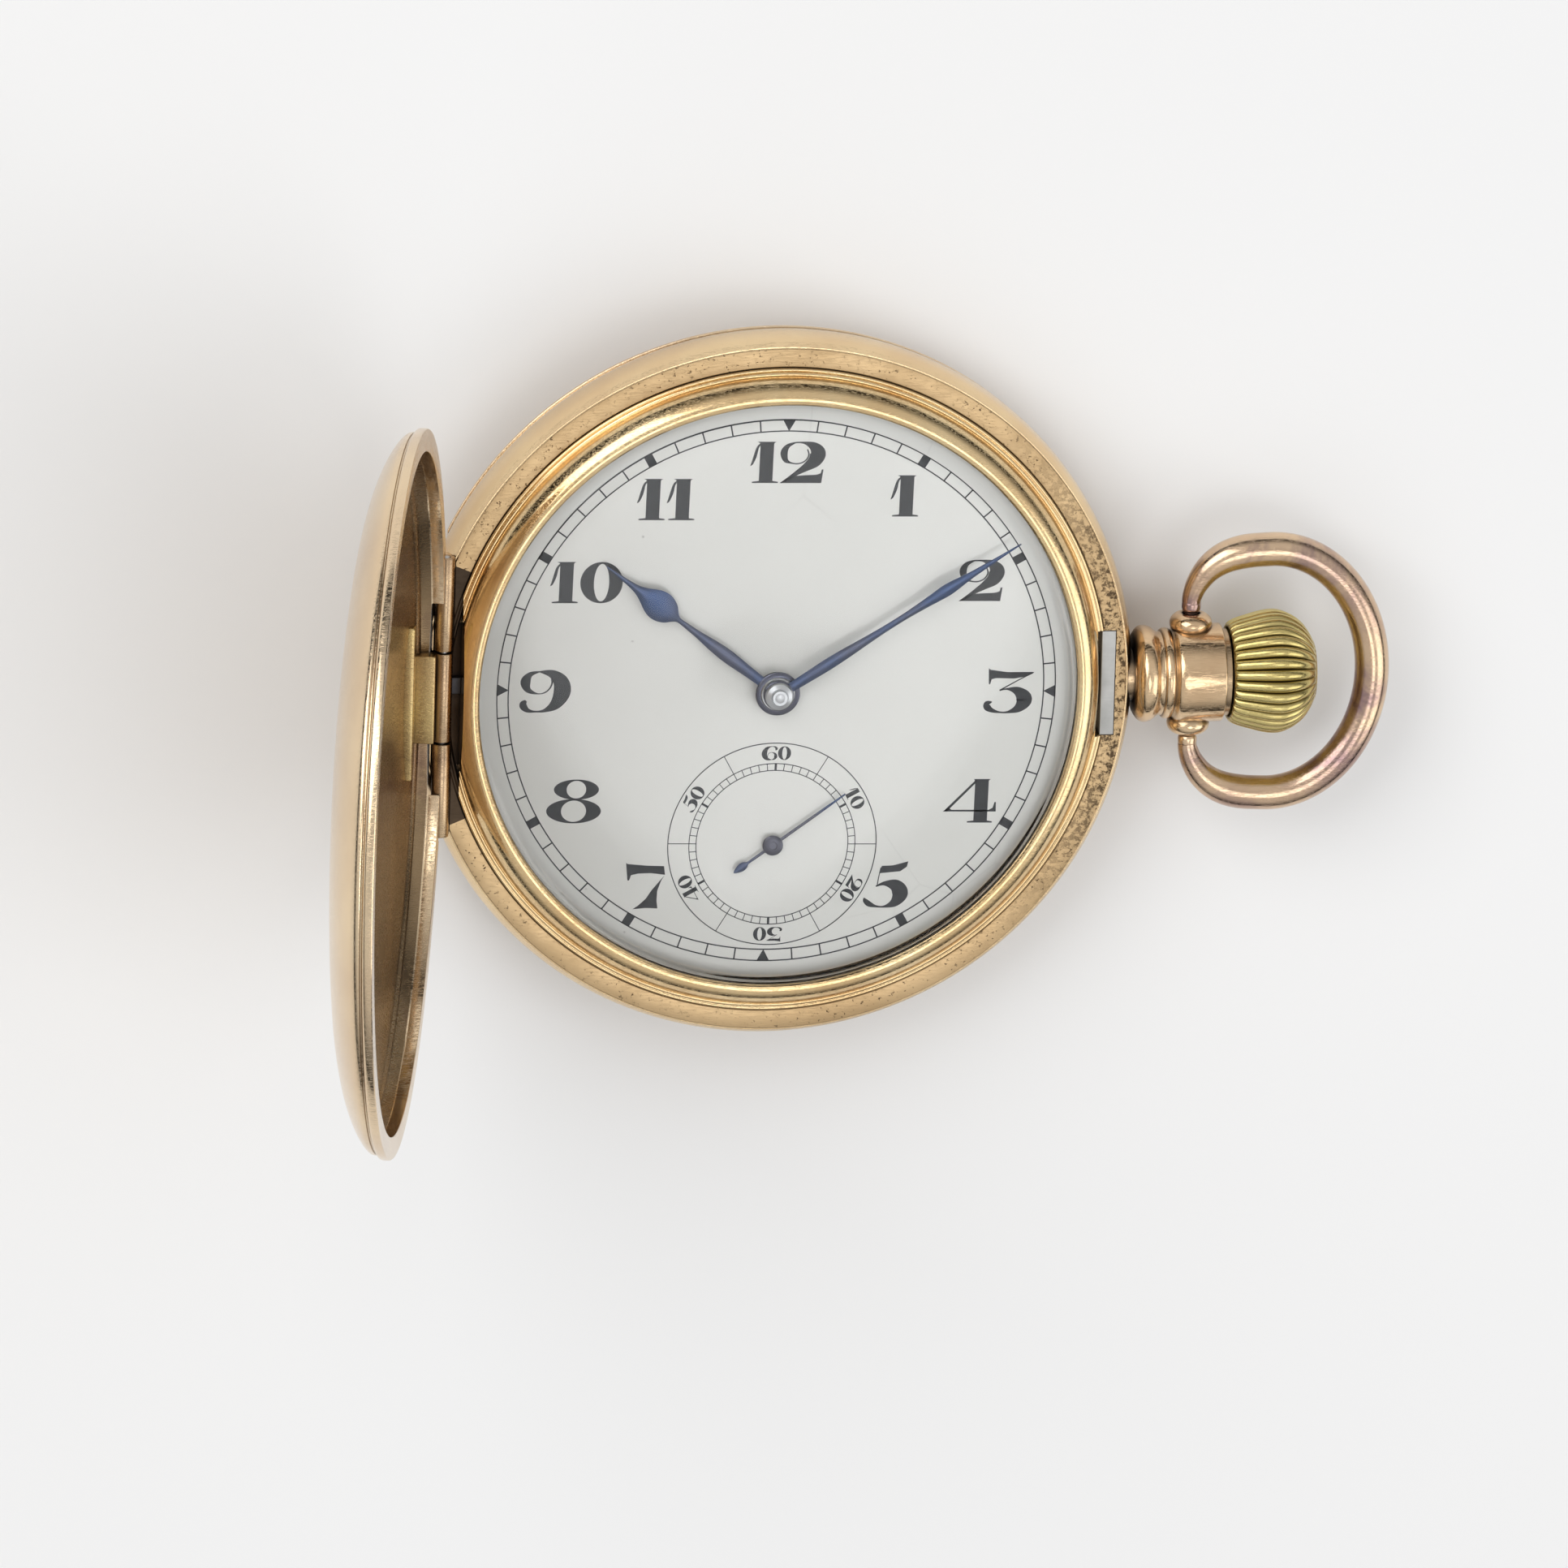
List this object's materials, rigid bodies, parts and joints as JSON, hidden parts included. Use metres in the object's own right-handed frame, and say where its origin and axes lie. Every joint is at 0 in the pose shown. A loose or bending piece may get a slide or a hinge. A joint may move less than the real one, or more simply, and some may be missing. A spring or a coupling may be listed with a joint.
{
  "type": "pocket watch",
  "caption": "Hunter-case pocket watch with a sprung front cover, hinged back and inner covers, small seconds dial, fluted crown, swivel bow and a lever movement.",
  "frame": {"origin": "centre of the flat disc in the middle of the back cover's outside, which rests on a table", "axes": "+Z out of the dial, +X from the centre to the crown at 3 o'clock, +Y to 12 o'clock"},
  "size_m": [0.0809, 0.0508, 0.0557],
  "materials": {
    "rose_gold": "polished rose gold with fine scratches",
    "yellow_gold": "worn greenish yellow gold",
    "tarnished_gold": "brown tarnished gold",
    "glass": "clear domed watch glass",
    "enamel": "off-white enamel with printed black figures",
    "nickel_plate": "grained and nickelled brass plate",
    "wheel_brass": "circular grained brass",
    "steel": "polished steel",
    "blued_steel": "heat blued steel"
  },
  "bodies": {
    "case": {"case_middle": "rose_gold", "pendant": "rose_gold", "front_bezel": "rose_gold", "crystal": "glass", "front_hinge_pin": "steel", "back_hinge_pin": "steel", "fly_spring": "steel", "dial": "enamel", "main_plate": "nickel_plate", "barrel_bridge": "nickel_plate", "train_bridge": "nickel_plate", "balance_cock": "nickel_plate", "pallet_bridge": "nickel_plate", "case_screw_1": "steel", "case_screw_2": "steel", "crown_wheel_screw": "blued_steel", "click_screw": "blued_steel", "hairspring": "blued_steel", "barrel_bridge_screw_1": "blued_steel", "barrel_bridge_screw_2": "blued_steel", "train_bridge_screw_1": "blued_steel", "balance_cock_screw": "blued_steel", "pallet_bridge_screw": "blued_steel"},
    "front_cover": {"front_cover": "rose_gold"},
    "back_cover": {"back_cover": "rose_gold"},
    "inner_cover": {"inner_cover": "tarnished_gold"},
    "bow": {"bow": "rose_gold"},
    "winding_pinion": {"winding_pinion": "steel"},
    "stem": {"winding_stem": "steel"},
    "crown": {"crown": "yellow_gold"},
    "sliding_pinion": {"sliding_pinion": "steel"},
    "setting_lever": {"setting_lever": "steel"},
    "lock_spring": {"lock_spring": "steel"},
    "crown_wheel": {"crown_wheel": "steel"},
    "ratchet": {"ratchet_wheel": "steel", "ratchet_screw": "blued_steel", "barrel_arbor": "steel"},
    "click": {"click": "steel"},
    "minute": {"minute_hand": "blued_steel", "cannon_pinion": "steel"},
    "minute_wheel": {"minute_wheel": "wheel_brass"},
    "hour": {"hour_hand": "blued_steel", "hour_wheel": "wheel_brass"},
    "setting_wheel_1": {"setting_wheel_1": "steel"},
    "setting_wheel_2": {"setting_wheel_2": "steel"},
    "seconds": {"seconds_hand": "blued_steel", "fourth_wheel": "wheel_brass"},
    "third": {"third_wheel": "wheel_brass"},
    "centre": {"centre_wheel": "wheel_brass"},
    "barrel": {"barrel": "wheel_brass", "mainspring": "blued_steel"},
    "escape": {"escape_wheel": "steel"},
    "pallet": {"pallet_fork": "steel"},
    "balance": {"balance_wheel": "wheel_brass"}
  },
  "joints": [
    {"name": "front_cover_hinge", "type": "hinge", "parent": "case", "child": "front_cover", "pos_m": [-0.0235, 0, 0.0083], "axis": [0, -1, 0], "range_deg": [-104, 0]},
    {"name": "back_cover_hinge", "type": "hinge", "parent": "case", "child": "back_cover", "pos_m": [-0.0235, 0, 0.0039], "axis": [0, 1, 0], "range_deg": [0, 100]},
    {"name": "inner_cover_hinge", "type": "hinge", "parent": "case", "child": "inner_cover", "pos_m": [-0.0235, 0, 0.0039], "axis": [0, 1, 0], "range_deg": [0, 78]},
    {"name": "bow_swivel", "type": "hinge", "parent": "case", "child": "bow", "pos_m": [0.0296, 0, 0.0061], "axis": [0, 1, 0], "range_deg": [-80, 80]},
    {"name": "crown_wind", "type": "hinge", "parent": "case", "child": "winding_pinion", "pos_m": [0.016, 0, 0.0061], "axis": [1, 0, 0], "continuous": true},
    {"name": "crown_pull", "type": "slide", "parent": "winding_pinion", "child": "stem", "axis": [1, 0, 0], "range_m": [0, 0.0009]},
    {"name": "crown_press", "type": "slide", "parent": "stem", "child": "crown", "axis": [-1, 0, 0], "range_m": [0, 0.0005], "stiffness_N_per_m": 800, "springref_m": -0.0005},
    {"name": "sliding_pinion_shift", "type": "slide", "parent": "winding_pinion", "child": "sliding_pinion", "axis": [-1, 0, 0], "range_m": [0, 0.00046]},
    {"name": "setting_lever_pivot", "type": "hinge", "parent": "case", "child": "setting_lever", "pos_m": [0.0136, -0.0064, 0.005], "axis": [0, 0, 1], "range_deg": [0, 5]},
    {"name": "lock_spring_slide", "type": "slide", "parent": "case", "child": "lock_spring", "axis": [-1, 0, 0], "range_m": [0, 0.00031]},
    {"name": "crown_wheel_turn", "type": "hinge", "parent": "case", "child": "crown_wheel", "pos_m": [0.01269, 0, 0.0022], "axis": [0, 0, 1], "continuous": true},
    {"name": "ratchet_turn", "type": "hinge", "parent": "case", "child": "ratchet", "pos_m": [0.00579, 0.00689, 0.0022], "axis": [0, 0, 1], "continuous": true},
    {"name": "click_pivot", "type": "hinge", "parent": "case", "child": "click", "pos_m": [-0.0027, 0.0096, 0.0022], "axis": [0, 0, -1], "range_deg": [0, 8], "stiffness_Nm_per_rad": 0.0002, "springref_deg": -5.73},
    {"name": "minute_turn", "type": "hinge", "parent": "case", "child": "minute", "pos_m": [0, 0, 0.009], "axis": [0, 0, -1], "continuous": true},
    {"name": "minute_wheel_turn", "type": "hinge", "parent": "case", "child": "minute_wheel", "pos_m": [0.0026, 0, 0.007], "axis": [0, 0, -1], "continuous": true},
    {"name": "hour_turn", "type": "hinge", "parent": "case", "child": "hour", "pos_m": [0, 0, 0.009], "axis": [0, 0, -1], "continuous": true},
    {"name": "setting_wheel_1_turn", "type": "hinge", "parent": "case", "child": "setting_wheel_1", "pos_m": [0.0065, 0, 0.007], "axis": [0, 0, -1], "continuous": true},
    {"name": "setting_wheel_2_turn", "type": "hinge", "parent": "case", "child": "setting_wheel_2", "pos_m": [0.0104, 0, 0.007], "axis": [0, 0, -1], "continuous": true},
    {"name": "seconds_turn", "type": "hinge", "parent": "case", "child": "seconds", "pos_m": [0, -0.0112, 0.004], "axis": [0, 0, -1], "continuous": true},
    {"name": "third_turn", "type": "hinge", "parent": "case", "child": "third", "pos_m": [0.00204, -0.00653, 0.004], "axis": [0, 0, -1], "continuous": true},
    {"name": "centre_turn", "type": "hinge", "parent": "case", "child": "centre", "pos_m": [0, 0, 0.004], "axis": [0, 0, -1], "continuous": true},
    {"name": "barrel_turn", "type": "hinge", "parent": "case", "child": "barrel", "pos_m": [0.00579, 0.00689, 0.005], "axis": [0, 0, -1], "continuous": true},
    {"name": "escape_turn", "type": "hinge", "parent": "case", "child": "escape", "pos_m": [-0.00372, -0.00985, 0.004], "axis": [0, 0, -1], "continuous": true},
    {"name": "pallet_rock", "type": "hinge", "parent": "case", "child": "pallet", "pos_m": [-0.00637, -0.00825, 0.005], "axis": [0, 0, -1], "range_deg": [-4, 4]},
    {"name": "balance_swing", "type": "hinge", "parent": "case", "child": "balance", "pos_m": [-0.0096, -0.0063, 0.004], "axis": [0, 0, -1], "range_deg": [-220, 220], "stiffness_Nm_per_rad": 0.000001}
  ],
  "couplings": [
    {"joint": "inner_cover_hinge", "follows": "back_cover_hinge", "ratio": 0.75},
    {"joint": "sliding_pinion_shift", "follows": "crown_pull", "ratio": 0.5},
    {"joint": "setting_lever_pivot", "follows": "crown_pull", "rad_per_m": 94},
    {"joint": "lock_spring_slide", "follows": "crown_press", "ratio": 0.6},
    {"joint": "crown_wheel_turn", "follows": "crown_wind", "ratio": 0.46667},
    {"joint": "ratchet_turn", "follows": "crown_wind", "ratio": -0.29167},
    {"joint": "minute_wheel_turn", "follows": "minute_turn", "ratio": -0.33333},
    {"joint": "hour_turn", "follows": "minute_turn", "ratio": 0.083333},
    {"joint": "setting_wheel_1_turn", "follows": "minute_turn", "ratio": 0.33333},
    {"joint": "setting_wheel_2_turn", "follows": "minute_turn", "ratio": -0.33333},
    {"joint": "third_turn", "follows": "seconds_turn", "ratio": -0.13333},
    {"joint": "centre_turn", "follows": "seconds_turn", "ratio": 0.016667},
    {"joint": "barrel_turn", "follows": "seconds_turn", "ratio": -0.0020833},
    {"joint": "escape_turn", "follows": "seconds_turn", "ratio": -10}
  ]
}
